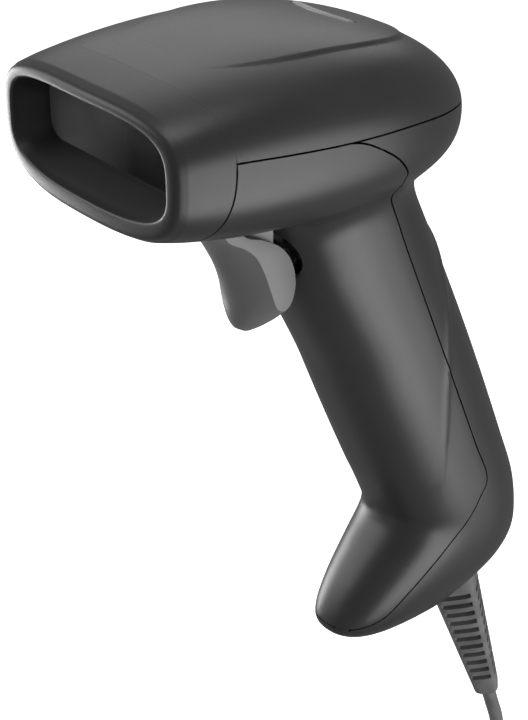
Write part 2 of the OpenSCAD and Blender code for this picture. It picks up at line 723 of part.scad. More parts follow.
// The coil: two flat layers, wound in and then out again, with this many turns side by side.
coil_turns = 5;
coil_layers = 2;
coil_outer = 32;
coil_at = [coil_outer, 18, -162];
module cord() {
    color(soft_black) sweep(lead_route, cord_r, 8);
}
module cord_tail() {
    color(soft_black) sweep(tail_route, cord_r, 8);
}
module cord_coil() {
    ro = coil_outer + cord_r;
    ri = coil_outer - coil_turns * cord_d - cord_r;
    h = coil_layers * cord_d;
    c = cord_r / 2;
    color(soft_black) translate(coil_at) rotate_extrude()
        polygon([[ri, c], [ri + c, 0], [ro - c, 0], [ro, c],
                 [ro, h - c], [ro - c, h], [ri + c, h], [ri, h - c]]);
}
module cord_tie() {
    w = (coil_turns + 1) * cord_d + 2.2;
    h = coil_layers * cord_d;
    t = 0.8;
    x = coil_outer - coil_turns * cord_d / 2 - 0.3;
    color([0.10, 0.10, 0.11]) translate(coil_at) rotate(-60) translate([x, 0, h / 2]) difference() {
        cube([w + 2 * t, 9, h + 2 * t], center = true);
        cube([w, 10, h], center = true);
    }
}
plug_end = tail_route[len(tail_route) - 1];
plug_l = 30;
plug_w = 15.6;
plug_t = 8;
usb_w = 12;
usb_t = 4.5;
usb_l = 18.8;
usb_wall = 0.35;
module usb_plug_body() {
    color(soft_black) translate([0, plug_end[1] - plug_l, plug_end[2]]) rotate([-90, 0, 0]) {
        linear_extrude(plug_l - 8) polygon(round_box(plug_w, plug_t, 2.4));
        translate([0, 0, plug_l - 8]) cylinder(r1 = 3.9, r2 = 2.8, h = 8);
    }
}
module usb_plug_shell() {
    color(steel) translate([0, plug_end[1] - plug_l, plug_end[2]]) rotate([90, 0, 0]) difference() {
        linear_extrude(usb_l) square([usb_w, usb_t], center = true);
        translate([0, 0, 0.4]) linear_extrude(usb_l)
            square([usb_w - 2 * usb_wall, usb_t - 2 * usb_wall], center = true);
        for (s = [-1, 1]) translate([s * 2.9, 0, 11]) cube([2.2, usb_t + 1, 2.2], center = true);
    }
}
module usb_tongue() {
    color([0.90, 0.90, 0.88]) translate([0, plug_end[1] - plug_l, plug_end[2]]) rotate([90, 0, 0])
        translate([-usb_w / 2 + usb_wall + 0.1, -usb_t / 2 + usb_wall, 0.4])
            cube([usb_w - 2 * usb_wall - 0.2, 1.9, usb_l - 1]);
}

top_cover();
nose_bezel();
front_shell();
rear_shell();
status_light_pipe();
scan_window();
window_gasket();
chassis();
trigger();
trigger_pin();
trigger_spring();
trigger_switch();
switch_plunger();
engine_housing();
lens_barrel();
lens_glass();
image_sensor();
aimer_lens();
illumination_leds();
engine_board();
engine_flex();
engine_screws();
main_board();
board_chips();
status_led();
beeper();
board_screws();
chassis_screws();
board_socket();
inner_lead();
cable_socket();
cable_plug();
strain_relief();
housing_screws();
cord();
cord_coil();
cord_tail();
cord_tie();
usb_plug_body();
usb_plug_shell();
usb_tongue();
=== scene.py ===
import json
import math
import bmesh
import bpy
import numpy as np
from mathutils import Matrix, Vector


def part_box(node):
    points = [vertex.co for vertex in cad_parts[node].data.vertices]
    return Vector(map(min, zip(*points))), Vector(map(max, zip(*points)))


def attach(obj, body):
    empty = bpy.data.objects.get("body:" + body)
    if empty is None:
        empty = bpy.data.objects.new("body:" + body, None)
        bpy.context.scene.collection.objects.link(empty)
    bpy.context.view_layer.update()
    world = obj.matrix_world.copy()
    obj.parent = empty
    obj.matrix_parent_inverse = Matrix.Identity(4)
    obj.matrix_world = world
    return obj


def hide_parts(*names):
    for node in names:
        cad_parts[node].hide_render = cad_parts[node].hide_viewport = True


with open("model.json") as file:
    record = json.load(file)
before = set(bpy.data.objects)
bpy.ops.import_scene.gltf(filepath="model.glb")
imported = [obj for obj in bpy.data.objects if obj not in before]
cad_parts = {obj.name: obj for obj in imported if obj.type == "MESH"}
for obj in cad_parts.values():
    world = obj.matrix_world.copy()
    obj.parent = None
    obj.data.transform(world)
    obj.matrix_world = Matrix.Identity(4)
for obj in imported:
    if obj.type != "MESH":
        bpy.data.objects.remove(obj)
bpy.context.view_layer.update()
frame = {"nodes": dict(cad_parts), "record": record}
mm = 0.001  # sizes are in millimetres unless a line says otherwise
print("frame loaded:", len(frame["nodes"]), "parts")


# ---- camera, floor and lights

viewer = {"target": (0, -42.4, 19), "turn": 51, "height": 28, "distance": 418, "lens": 91.5}
studio = {
    "floorZ": -163.1, "floorSize": 3000, "floorColour": 0.8, "floorGlow": 1.0, "roomGlow": 0.22,
    "lamps": {
        "backHigh": {"at": (-420, 330, 400), "size": (560, 300), "power": 0.75},
        "sideLow": {"at": (350, 70, -125), "size": (380, 260), "power": 1.4},
        "leftFront": {"at": (-430, -420, 290), "size": (380, 300), "power": 1.0},
        "leftLow": {"at": (-430, -150, -40), "size": (200, 260), "power": 1.5},
        "overhead": {"at": (60, -40, 650), "size": (300, 300), "power": 1.0},
    },
}


def aimAt(thing, place, target):
    thing.location = place
    thing.rotation_euler = (target - place).to_track_quat("-Z", "Y").to_euler()


def makeCamera():
    target = Vector(viewer["target"]) * mm
    turn = math.radians(viewer["turn"])
    height = math.radians(viewer["height"])
    away = Vector((math.sin(turn) * math.cos(height), -math.cos(turn) * math.cos(height), math.sin(height)))
    lens = bpy.data.cameras.new("camera")
    lens.lens = viewer["lens"]
    lens.sensor_width = 36
    lens.clip_start = 0.01
    camera = bpy.data.objects.new("camera", lens)
    bpy.context.scene.collection.objects.link(camera)
    aimAt(camera, target + away * viewer["distance"] * mm, target)
    bpy.context.scene.camera = camera


def makeStudio():
    bm = bmesh.new()
    bmesh.ops.create_grid(bm, x_segments=4, y_segments=4, size=studio["floorSize"] * mm / 2)
    bmesh.ops.translate(bm, vec=(0, 0, studio["floorZ"] * mm), verts=bm.verts)
    mesh = bpy.data.meshes.new("floor")
    bm.to_mesh(mesh)
    bm.free()
    floor = bpy.data.objects.new("floor", mesh)
    bpy.context.scene.collection.objects.link(floor)
    paint = bpy.data.materials.new("floorPaint")
    paint.use_nodes = True
    shader = paint.node_tree.nodes["Principled BSDF"]
    pale = studio["floorColour"]
    shader.inputs["Base Color"].default_value = (pale, pale, pale, 1)
    shader.inputs["Roughness"].default_value = 0.9
    shader.inputs["Emission Color"].default_value = (1, 1, 1, 1)
    shader.inputs["Emission Strength"].default_value = studio["floorGlow"]
    mesh.materials.append(paint)
    floor.visible_diffuse = False
    floor.visible_glossy = False
    target = Vector(viewer["target"]) * mm
    for name, lamp in studio["lamps"].items():
        light = bpy.data.lights.new(name, "AREA")
        light.shape = "RECTANGLE"
        light.size = lamp["size"][0] * mm
        light.size_y = lamp["size"][1] * mm
        light.energy = lamp["power"]
        holder = bpy.data.objects.new(name, light)
        bpy.context.scene.collection.objects.link(holder)
        aimAt(holder, Vector(lamp["at"]) * mm, target)
    world = bpy.data.worlds.new("room")
    world.use_nodes = True
    world.node_tree.nodes["Background"].inputs["Color"].default_value = (1, 1, 1, 1)
    world.node_tree.nodes["Background"].inputs["Strength"].default_value = studio["roomGlow"]
    bpy.context.scene.world = world
    bpy.context.scene.view_settings.view_transform = "Standard"
    bpy.context.scene.view_settings.look = "None"


makeCamera()
makeStudio()
print("camera and studio made")


# ---- materials

def newFinish(name, colour, roughness, metallic=0.0, specular=0.5, coat=0.0):
    material = bpy.data.materials.new(name)
    material.use_nodes = True
    shader = material.node_tree.nodes["Principled BSDF"]
    shader.inputs["Base Color"].default_value = (*colour, 1)
    shader.inputs["Roughness"].default_value = roughness
    shader.inputs["Metallic"].default_value = metallic
    shader.inputs["Specular IOR Level"].default_value = specular
    shader.inputs["Coat Weight"].default_value = coat
    return material


def addNode(material, kind, **values):
    node = material.node_tree.nodes.new(kind)
    for key, value in values.items():
        if key in node.inputs:
            node.inputs[key].default_value = value
        else:
            setattr(node, key, value)
    return node


def link(material, fromNode, fromName, toNode, toName):
    material.node_tree.links.new(fromNode.outputs[fromName], toNode.inputs[toName])


def noiseAt(material, scale, detail=3.0):
    where = material.node_tree.nodes.get("where")
    if where is None:
        where = addNode(material, "ShaderNodeTexCoord")
        where.name = "where"
    noise = addNode(material, "ShaderNodeTexNoise", Scale=scale, Detail=detail)
    link(material, where, "Object", noise, "Vector")
    return noise


def varyColour(material, source, sourceName, dark, light, low=0.35, high=0.65):
    ramp = addNode(material, "ShaderNodeValToRGB")
    ramp.color_ramp.elements[0].position = low
    ramp.color_ramp.elements[1].position = high
    ramp.color_ramp.elements[0].color = (*dark, 1)
    ramp.color_ramp.elements[1].color = (*light, 1)
    link(material, source, sourceName, ramp, "Fac")
    link(material, ramp, "Color", material.node_tree.nodes["Principled BSDF"], "Base Color")
    return ramp


def varyRoughness(material, source, sourceName, low, high):
    spread = addNode(material, "ShaderNodeMapRange")
    spread.inputs["To Min"].default_value = low
    spread.inputs["To Max"].default_value = high
    link(material, source, sourceName, spread, "Value")
    link(material, spread, "Result", material.node_tree.nodes["Principled BSDF"], "Roughness")


def addBump(material, source, sourceName, strength, depth):
    bump = addNode(material, "ShaderNodeBump", Strength=strength, Distance=depth * mm)
    link(material, source, sourceName, bump, "Height")
    link(material, bump, "Normal", material.node_tree.nodes["Principled BSDF"], "Normal")


def shade(colour, factor):
    return tuple(min(1.0, c * factor) for c in colour)


# moulded plastic: slow tone drift, fine spark-eroded grain, and a painted highlight that makes convex edges
# paler
def mouldedPlastic(name, colour, roughness, grain=1900.0, depth=0.03, drift=0.06, edgeHighlight=0.0):
    material = newFinish(name, colour, roughness)
    slow = noiseAt(material, 45.0, 2.0)
    ramp = varyColour(material, slow, "Fac", shade(colour, 1 - drift), shade(colour, 1 + drift))
    fine = noiseAt(material, grain, 4.0)
    varyRoughness(material, fine, "Fac", roughness - 0.07, roughness + 0.07)
    addBump(material, fine, "Fac", 0.35, depth)
    # painted highlight: convex edges, found by pointiness, are painted up to 1.7 times paler
    if edgeHighlight > 0:
        edges = addNode(material, "ShaderNodeNewGeometry")
        paintedEdgeHighlight = addNode(material, "ShaderNodeMapRange")
        paintedEdgeHighlight.inputs["From Min"].default_value = 0.53
        paintedEdgeHighlight.inputs["From Max"].default_value = 0.62
        paintedEdgeHighlight.inputs["To Max"].default_value = edgeHighlight
        link(material, edges, "Pointiness", paintedEdgeHighlight, "Value")
        blend = addNode(material, "ShaderNodeMix", data_type="RGBA")
        blend.inputs[7].default_value = (*shade(colour, 1.7), 1)
        link(material, paintedEdgeHighlight, "Result", blend, "Factor")
        material.node_tree.links.new(ramp.outputs["Color"], blend.inputs[6])
        shader = material.node_tree.nodes["Principled BSDF"]
        material.node_tree.links.new(blend.outputs[2], shader.inputs["Base Color"])
    return material


def softRubber(name, colour, roughness=0.62):
    material = newFinish(name, colour, roughness, specular=0.4)
    slow = noiseAt(material, 160.0, 3.0)
    varyColour(material, slow, "Fac", shade(colour, 0.86), shade(colour, 1.18))
    fine = noiseAt(material, 3200.0, 3.0)
    varyRoughness(material, fine, "Fac", roughness - 0.08, roughness + 0.08)
    addBump(material, fine, "Fac", 0.3, 0.02)
    return material


def platedMetal(name, colour, roughness):
    material = newFinish(name, colour, roughness, metallic=1.0)
    where = addNode(material, "ShaderNodeTexCoord")
    where.name = "where"
    drawn = addNode(material, "ShaderNodeMapping")
    drawn.inputs["Scale"].default_value = (1, 14, 1)
    link(material, where, "Object", drawn, "Vector")
    brushed = addNode(material, "ShaderNodeTexNoise", Scale=420.0, Detail=4.0)
    link(material, drawn, "Vector", brushed, "Vector")
    varyColour(material, brushed, "Fac", shade(colour, 0.88), shade(colour, 1.08))
    varyRoughness(material, brushed, "Fac", roughness - 0.08, roughness + 0.1)
    addBump(material, brushed, "Fac", 0.15, 0.01)
    return material


def clearPart(name, colour, roughness, see, coat=0.0):
    material = newFinish(name, colour, roughness, coat=coat)
    shader = material.node_tree.nodes["Principled BSDF"]
    shader.inputs["Transmission Weight"].default_value = see
    cloud = noiseAt(material, 300.0, 2.0)
    varyColour(material, cloud, "Fac", shade(colour, 0.94), shade(colour, 1.06))
    varyRoughness(material, cloud, "Fac", max(0.01, roughness - 0.02), roughness + 0.03)
    return material


def boardLaminate(name, colour):
    material = newFinish(name, colour, 0.35, coat=0.4)
    where = addNode(material, "ShaderNodeTexCoord")
    where.name = "where"
    tracks = addNode(material, "ShaderNodeTexBrick", Scale=260.0)
    tracks.inputs["Color1"].default_value = (*colour, 1)
    tracks.inputs["Color2"].default_value = (*shade(colour, 1.3), 1)
    tracks.inputs["Mortar"].default_value = (*shade(colour, 2.3), 1)
    tracks.inputs["Mortar Size"].default_value = 0.03
    link(material, where, "Object", tracks, "Vector")
    link(material, tracks, "Color", material.node_tree.nodes["Principled BSDF"], "Base Color")
    addBump(material, tracks, "Fac", 0.3, 0.03)
    return material


def wovenStrap(name, colour):
    material = newFinish(name, colour, 0.85, specular=0.3)
    where = addNode(material, "ShaderNodeTexCoord")
    where.name = "where"
    ribs = addNode(material, "ShaderNodeTexWave", Scale=700.0, Distortion=1.5)
    link(material, where, "Object", ribs, "Vector")
    varyColour(material, ribs, "Fac", shade(colour, 0.6), shade(colour, 1.6))
    addBump(material, ribs, "Fac", 0.6, 0.15)
    return material


# a dark pane whose -X side is painted paler, a painted reflection
def smokedPaneWithPaintedReflection(name, pale, dark, roughness):
    material = newFinish(name, dark, roughness, specular=0.22)
    where = addNode(material, "ShaderNodeTexCoord")
    where.name = "where"
    split = addNode(material, "ShaderNodeSeparateXYZ")
    link(material, where, "Object", split, "Vector")
    across = addNode(material, "ShaderNodeMapRange")
    across.inputs["From Min"].default_value = -20 * mm
    across.inputs["From Max"].default_value = 6 * mm
    link(material, split, "X", across, "Value")
    # painted reflection: the colour runs from pale at x = -20 mm to dark at x = 6 mm
    varyColour(material, across, "Result", pale, dark, 0.0, 1.0)
    haze = noiseAt(material, 250.0, 2.0)
    varyRoughness(material, haze, "Fac", roughness - 0.05, roughness + 0.05)
    return material


materials = {
    # the shells, the bezel and the trigger carry a painted highlight on their convex edges
    "shell_plastic": mouldedPlastic("shellPlastic", (0.040, 0.0395, 0.041), 0.38, edgeHighlight=0.35),
    "bezel_plastic": mouldedPlastic("bezelPlastic", (0.038, 0.0375, 0.039), 0.40, edgeHighlight=0.35),
    "trigger_plastic": mouldedPlastic("triggerPlastic", (0.19, 0.189, 0.193), 0.40, edgeHighlight=0.25),
    "light_pipe": clearPart("lightPipe", (0.62, 0.64, 0.63), 0.22, 0.25, 0.6),
    # the scan window's paler -X side is a painted reflection
    "scan_window": smokedPaneWithPaintedReflection("scanWindow", (0.17, 0.17, 0.176), (0.002, 0.002, 0.0025), 0.22),
    "gasket_foam": softRubber("gasketFoam", (0.02, 0.02, 0.02), 0.9),
    "chassis_plastic": mouldedPlastic("chassisPlastic", (0.03, 0.03, 0.032), 0.5),
    "steel": platedMetal("zincSteel", (0.55, 0.55, 0.56), 0.32),
    "spring_steel": platedMetal("springSteel", (0.5, 0.5, 0.5), 0.28),
    "black_plastic": mouldedPlastic("blackPlastic", (0.02, 0.02, 0.021), 0.45),
    "plunger_plastic": mouldedPlastic("plungerPlastic", (0.45, 0.03, 0.02), 0.3),
    "engine_plastic": mouldedPlastic("enginePlastic", (0.03, 0.03, 0.033), 0.5),
    "lens_barrel": mouldedPlastic("barrelPlastic", (0.015, 0.015, 0.016), 0.6),
    "lens_glass": clearPart("lensGlass", (0.12, 0.14, 0.22), 0.04, 0.6, 0.5),
    "sensor_glass": clearPart("sensorGlass", (0.05, 0.06, 0.09), 0.08, 0.0, 1.0),
    "aimer_lens": clearPart("aimerLens", (0.4, 0.03, 0.03), 0.06, 0.5, 0.5),
    "led_resin": clearPart("ledResin", (0.75, 0.72, 0.5), 0.2, 0.3, 0.3),
    "circuit_board": boardLaminate("circuitBoard", (0.015, 0.10, 0.05)),
    "flex_film": clearPart("flexFilm", (0.45, 0.20, 0.03), 0.3, 0.0, 0.5),
    "chip_resin": mouldedPlastic("chipResin", (0.012, 0.012, 0.013), 0.55),
    "socket_plastic": mouldedPlastic("socketPlastic", (0.70, 0.67, 0.58), 0.4),
    "cable_jacket": softRubber("cableJacket", (0.18, 0.179, 0.181), 0.55),
    "clear_plug": clearPart("clearPlug", (0.7, 0.72, 0.74), 0.12, 0.6, 0.2),
    "boot_rubber": softRubber("bootRubber", (0.19, 0.189, 0.191), 0.58),
    "black_screws": platedMetal("blackScrews", (0.05, 0.05, 0.052), 0.4),
    "tie_strap": wovenStrap("tieStrap", (0.014, 0.014, 0.014)),
    "plated_steel": platedMetal("platedSteel", (0.75, 0.75, 0.76), 0.2),
}
for row in frame["record"]["subparts"]:
    node = frame["nodes"][row["node"]]
    node.data.materials.clear()
    node.data.materials.append(materials[row["material_slot"]])
print("materials made:", len(materials))


# ---- mesh helpers

def newMesh():
    bm = bmesh.new()
    bm.verts.layers.int.new("order")
    bm.verts.layers.float_vector.new("rest")
    return bm


def addPiece(name, bm, slot, body, *nodes, smooth=True, sharp=0.6):
    bmesh.ops.scale(bm, vec=(mm, mm, mm), verts=bm.verts)
    bm.verts.layers.int.remove(bm.verts.layers.int["order"])
    bm.verts.layers.float_vector.remove(bm.verts.layers.float_vector["rest"])
    for face in bm.faces:
        face.smooth = smooth
    for edge in bm.edges:
        edge.smooth = edge.calc_face_angle(0) < sharp
    mesh = bpy.data.meshes.new(name)
    bm.to_mesh(mesh)
    bm.free()
    mesh.materials.append(materials[slot])
    piece = bpy.data.objects.new(name, mesh)
    bpy.context.scene.collection.objects.link(piece)
    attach(piece, body)
    if nodes:
        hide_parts(*nodes)
    print("made", name, len(mesh.polygons), "faces")
    return piece


# points at equal steps along a polyline
def evenly(points, count):
    points = np.asarray(points, float)
    run = np.concatenate([[0], np.cumsum(np.linalg.norm(np.diff(points, axis=0), axis=1))])
    steps = np.linspace(0, run[-1], count)
    return np.stack([np.interp(steps, run, points[:, k]) for k in range(points.shape[1])], axis=1)


# a smooth line through a few points
def smoothLine(points, steps=8):
    p = np.asarray(points, float)
    p = np.vstack([2 * p[0] - p[1], p, 2 * p[-1] - p[-2]])
    made = []
    for k in range(1, len(p) - 2):
        for t in np.arange(steps) / steps:
            made.append(0.5 * (2 * p[k] + (p[k + 1] - p[k - 1]) * t
                               + (2 * p[k - 1] - 5 * p[k] + 4 * p[k + 1] - p[k + 2]) * t ** 2
                               + (3 * p[k] - p[k - 1] - 3 * p[k + 1] + p[k + 2]) * t ** 3))
    made.append(p[-2])
    return np.array(made)


# a tube of rings: the first is a circle moved onto its points, each next one is extruded
def loftRings(bm, rings, closeStart=False, closeEnd=False):
    order = bm.verts.layers.int["order"]
    made = bmesh.ops.create_circle(bm, segments=len(rings[0]), radius=1)["verts"]
    for index, vert in enumerate(made):
        vert[order] = index
        vert.co = rings[0][index]
    edges = list({edge for vert in made for edge in vert.link_edges})
    if closeStart:
        bmesh.ops.contextual_create(bm, geom=edges)
    for ring in rings[1:]:
        grown = bmesh.ops.extrude_edge_only(bm, edges=edges)["geom"]
        made = [g for g in grown if isinstance(g, bmesh.types.BMVert)]
        fresh = set(made)
        edges = [g for g in grown if isinstance(g, bmesh.types.BMEdge) and set(g.verts) <= fresh]
        for vert in made:
            vert.co = ring[vert[order]]
    if closeEnd:
        bmesh.ops.contextual_create(bm, geom=edges)
    return made


def faceOutwards(bm, centre):
    bmesh.ops.recalc_face_normals(bm, faces=bm.faces[:])
    middle = Vector(centre)
    lean = sum(f.normal.dot(f.calc_center_median() - middle) * f.calc_area() for f in bm.faces)
    if lean < 0:
        bmesh.ops.reverse_faces(bm, faces=bm.faces[:])


def places(bm):
    return np.array([v.co[:] for v in bm.verts])


# cuts along the line where a field is zero, and clears its positive or negative side
def cutAlong(bm, field, clearAbove=False, clearBelow=False):
    rest = bm.verts.layers.float_vector["rest"]
    for vert, value in zip(bm.verts[:], field(places(bm))):
        vert[rest] = vert.co
        vert.co.z = value
    whole = bm.verts[:] + bm.edges[:] + bm.faces[:]
    bmesh.ops.bisect_plane(bm, geom=whole, dist=0.02, plane_co=(0, 0, 0), plane_no=(0, 0, 1),
                           clear_outer=clearAbove, clear_inner=clearBelow)
    for vert in bm.verts:
        vert.co = vert[rest]


# signed distance from a line in the side view, positive on the left of its run
def sideOfLine(line, shift=0.0):
    start = np.asarray(line[:-1], float)
    run = np.asarray(line[1:], float) - start

    def field(p):
        found = np.full(len(p), 1e9)
        signed = np.zeros(len(p))
        for a, ab in zip(start, run):
            ap = p[:, 1:] - a
            t = np.clip(ap @ ab / (ab @ ab), 0, 1)
            away = np.linalg.norm(ap - t[:, None] * ab, axis=1)
            nearer = away < found - 1e-9
            side = np.sign(ab[0] * ap[:, 1] - ab[1] * ap[:, 0])
            signed = np.where(nearer, side * away, signed)
            found = np.where(nearer, away, found)
        return signed + shift
    return field


def ease(t):
    t = np.clip(t, 0, 1)
    return t * t * (3 - 2 * t)


# ---- cable: its route, coil, tie and plug

cable = {
    "diameter": 4.0,
    "lead": [(0, 40.2, -115), (0, 41.6, -118.8), (0, 42.9, -122.5), (0, 44.3, -126.3), (0, 45.3, -130),
             (0, 45.8, -134), (0, 45.6, -138), (0, 44.6, -142), (0, 42.9, -146.4), (0, 39.9, -150.8),
             (0, 36.2, -154.4), (0, 31.7, -157.2), (0, 26.8, -159.1), (0, 21.6, -160), (0, 18, -160)],
    "tail": [(0, 18, -156), (0, 12, -156), (0, 6, -156.1), (0, 0, -156.4), (0, -6, -156.9), (0, -12, -157.5),
             (0, -18, -158.1), (0, -24, -158.6), (0, -30, -158.9), (0, -36, -159)],
    "coilCentre": (32, 18), "coilRadius": 32.0, "columns": 5, "perTurn": 24,
}


def coilPoints():
    pitch = cable["diameter"]
    cx, cy = cable["coilCentre"]
    zLow = cable["lead"][-1][2]
    columns = cable["columns"]
    points = []
    total = 2 * columns - 1
    for k in range(1, total * cable["perTurn"]):
        turn = k / cable["perTurn"]
        if turn < columns - 1 + 1:
            whole = min(int(turn), columns - 1)
            shift = ease((turn - whole - 5 / 6) * 6) if whole < columns - 1 else 0
            column = whole + shift
        else:
            column = columns - 1 - sum(ease((turn - (columns + j + 0.5)) * 6) for j in range(columns - 1))
        rise = ease((turn - (columns - 1 + 2 / 3)) * 6)
        angle = math.pi + turn * 2 * math.pi
        radius = cable["coilRadius"] - float(column) * pitch
        points.append((cx + radius * math.cos(angle), cy + radius * math.sin(angle),
                       zLow + pitch * float(rise)))
    return points


def makeCable():
    route = [Vector(p) * mm for p in cable["lead"] + coilPoints() + cable["tail"]]
    curve = bpy.data.curves.new("usbCable", "CURVE")
    curve.dimensions = "3D"
    curve.bevel_depth = cable["diameter"] * mm / 2
    curve.bevel_resolution = 4
    curve.resolution_u = 6
    curve.use_fill_caps = True
    spline = curve.splines.new("BEZIER")
    spline.bezier_points.add(len(route) - 1)
    for knot, place in zip(spline.bezier_points, route):
        knot.co = place
        knot.handle_left_type = "AUTO"
        knot.handle_right_type = "AUTO"
    cord = bpy.data.objects.new("usbCable", curve)
    bpy.context.scene.collection.objects.link(cord)
    curve.materials.append(materials["cable_jacket"])
    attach(cord, "housing")
    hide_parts("cord", "cord_coil", "cord_tail")
    length = sum((b - a).length for a, b in zip(route, route[1:]))
    print("cable length in metres:", round(length, 3))
    return cord, length


# an outline of a rounded box, from its +X side round towards +Y
def roundedBox(width, height, radius, count=80):
    corners = []
    for quarter in range(4):
        cx = (width / 2 - radius) * (1 if quarter in (0, 3) else -1)
        cy = (height / 2 - radius) * (1 if quarter < 2 else -1)
        for step in range(9):
            a = math.pi / 2 * (quarter + step / 8)
            corners.append((cx + radius * math.cos(a), cy + radius * math.sin(a)))
    corners = [(width / 2, 0)] + corners + [(width / 2, 0)]
    return evenly(corners, count + 1)[:-1]


strap = {"turn": -60.0, "width": 9.0, "thick": 0.8, "inner": (26.2, 8.0), "reach": 21.7, "middleZ": -158.0}


def makeStrap():
    bm = newMesh()
    wide, high = strap["inner"]
    half = strap["width"] / 2
    loops = []
    thick = strap["thick"]
    for grow, along in ((0.0, -half), (thick, -half), (thick, half), (0.0, half), (0.0, -half)):
        outline = roundedBox(wide + 2 * grow, high + 2 * grow, 2.4 + grow, 72)
        loops.append([Vector((x, along, z)) for x, z in outline])
    loftRings(bm, loops)
    bmesh.ops.remove_doubles(bm, verts=bm.verts, dist=0.001)
    faceOutwards(bm, (0, 0, 0))
    rims = [e for e in bm.edges if e.calc_face_angle(0) > 1.2]
    bmesh.ops.bevel(bm, geom=rims, offset=0.2, segments=2, profile=0.5, affect="EDGES", material=-1)
    lap = bmesh.ops.create_cube(bm, size=1)["verts"]
    bmesh.ops.scale(bm, vec=(8, strap["width"] - 0.6, 0.7), verts=lap)
    bmesh.ops.translate(bm, vec=(2, 0, high / 2 + 0.45), verts=lap)
    bmesh.ops.translate(bm, vec=(strap["reach"], 0, 0), verts=bm.verts)
    turned = Matrix.Rotation(math.radians(strap["turn"]), 3, "Z")
    bmesh.ops.rotate(bm, cent=(0, 0, 0), matrix=turned, verts=bm.verts)
    cx, cy = cable["coilCentre"]
    bmesh.ops.translate(bm, vec=(cx, cy, strap["middleZ"]), verts=bm.verts)
    bmesh.ops.recalc_face_normals(bm, faces=bm.faces[:])
    return addPiece("coilStrap", bm, "tie_strap", "housing", "cord_tie")


plug = {"width": 15.6, "thick": 8.0, "length": 30.0, "ribs": 5, "ribPitch": 2.4}


def makePlug():
    bm = newMesh()
    endY, endZ = cable["tail"][-1][1:]
    frontY = endY - plug["length"]
    rows = [(0.0, 0.86), (0.3, 0.93), (1.0, 1.0), (7.0, 1.0)]
    for k in range(plug["ribs"]):
        s = 8.0 + k * plug["ribPitch"]
        rows += [(s, 1.0), (s + 0.25, 0.94), (s + 1.0, 0.94), (s + 1.25, 1.0)]
    rows += [(20.4, 1.0), (21.4, 0.97), (22.0, 0.9)]
    rings = []
    for s, size in rows:
        outline = roundedBox(plug["width"] * size, plug["thick"] * size, 2.6 * size, 64)
        rings.append([Vector((x, frontY + s, endZ + z)) for x, z in outline])
    for s, radius in ((22.2, 3.9), (25.0, 3.5), (28.0, 3.1), (29.6, 2.8), (30.0, 2.4)):
        rings.append([Vector((radius * math.cos(a), frontY + s, endZ + radius * math.sin(a)))
                      for a in np.arange(64) * 2 * math.pi / 64])
    loftRings(bm, rings, closeStart=True, closeEnd=True)
    faceOutwards(bm, (0, frontY + 12, endZ))
    return addPiece("plugBody", bm, "boot_rubber", "housing", "usb_plug_body", sharp=0.7)


usbCable, cableLength = makeCable()
coilStrap = makeStrap()
plugBody = makePlug()


# ---- the head's form

head = {
    "rimY": -89.4, "length": 94.0, "width": 66.6, "noseWidth": 61.0, "noseHeight": 27.8, "middleZ": 81.0,
    "crownRise": 4.5, "bellyDrop": 7.8, "tailDrop": 6.6, "beltUp": 2.0, "ringPoints": 208, "rings": 118,
}
head["backY"] = head["rimY"] + head["length"]
head["beltZ"] = head["middleZ"] + head["beltUp"]
head["tailZ"] = head["middleZ"] - head["tailDrop"]


def fall(y, start, end, power):
    return np.sqrt(1 - np.clip((y - start) / (end - start), 0, 1) ** power)


# half width, top, bottom and middle height of the head at a place along it, and its two corner powers
def headSizes(y, inset=0.0):
    rim, back = head["rimY"], head["backY"]
    length = head["length"]
    widest, crown, belly = rim + 0.41 * length, rim + 0.46 * length, rim + 0.56 * length
    flare = (head["width"] - head["noseWidth"]) / 2
    half = np.where(y < widest, head["noseWidth"] / 2 + flare * (1 - ((widest - y) / (widest - rim)) ** 2),
                    head["width"] / 2 * fall(y, widest, back, 3)) - inset
    rimTop = head["middleZ"] + head["noseHeight"] / 2
    rimLow = head["middleZ"] - head["noseHeight"] / 2
    tail = head["tailZ"]
    top = np.where(y < crown, rimTop + head["crownRise"] * (1 - ((crown - y) / (crown - rim)) ** 2),
                   tail + (rimTop + head["crownRise"] - tail) * fall(y, crown, back, 2)) - inset
    low = np.where(y < belly, rimLow - head["bellyDrop"] * (1 - ((belly - y) / (belly - rim)) ** 2),
                   tail + (rimLow - head["bellyDrop"] - tail) * fall(y, belly, back, 3.4)) + inset
    share = np.clip((y - rim) / length, 0, 1)
    mid = head["beltZ"] + (tail - head["beltZ"]) * share ** 3
    return half, top, low, mid, 3.4 - 1.2 * share, 3.2 - 1.1 * share


# a closed outline, squarer than an ellipse, with equal steps along its upper and its lower part
def squareRing(half, up, down, powerUp, powerDown, count):
    parts = []
    for reach, power, sign in ((up, powerUp, 1), (down, powerDown, -1)):
        a = np.linspace(0, math.pi, 361)
        c = np.cos(a) * sign
        x = half * np.sign(c) * np.abs(c) ** (2 / power)
        z = sign * reach * np.abs(np.sin(a)) ** (2 / power)
        parts.append(evenly(np.stack([x, z], axis=1), count // 2 + 1)[:-1])
    return np.vstack(parts)


def headRing(y, inset=0.0, atY=None):
    half, top, low, mid, powerUp, powerDown = (float(v) for v in headSizes(np.array(float(y)), inset))
    ring = squareRing(half, top - mid, mid - low, powerUp, powerDown, head["ringPoints"])
    return [Vector((x, y if atY is None else atY, mid + z)) for x, z in ring]


def headSkin(frontY):
    bm = newMesh()
    turn = np.linspace(0, 0.985 * math.pi / 2, 36)
    shares = np.concatenate([np.linspace((frontY - head["rimY"]) / head["length"], 0.82, head["rings"])[:-1],
                             0.82 + 0.18 * np.sin(turn)])
    rings = [headRing(head["rimY"] + s * head["length"]) for s in shares]
    last = loftRings(bm, rings)
    bmesh.ops.pointmerge(bm, verts=last, merge_co=(0, head["backY"], head["tailZ"]))
    faceOutwards(bm, (0, -45, 80))
    return bm


# ---- the grip's form

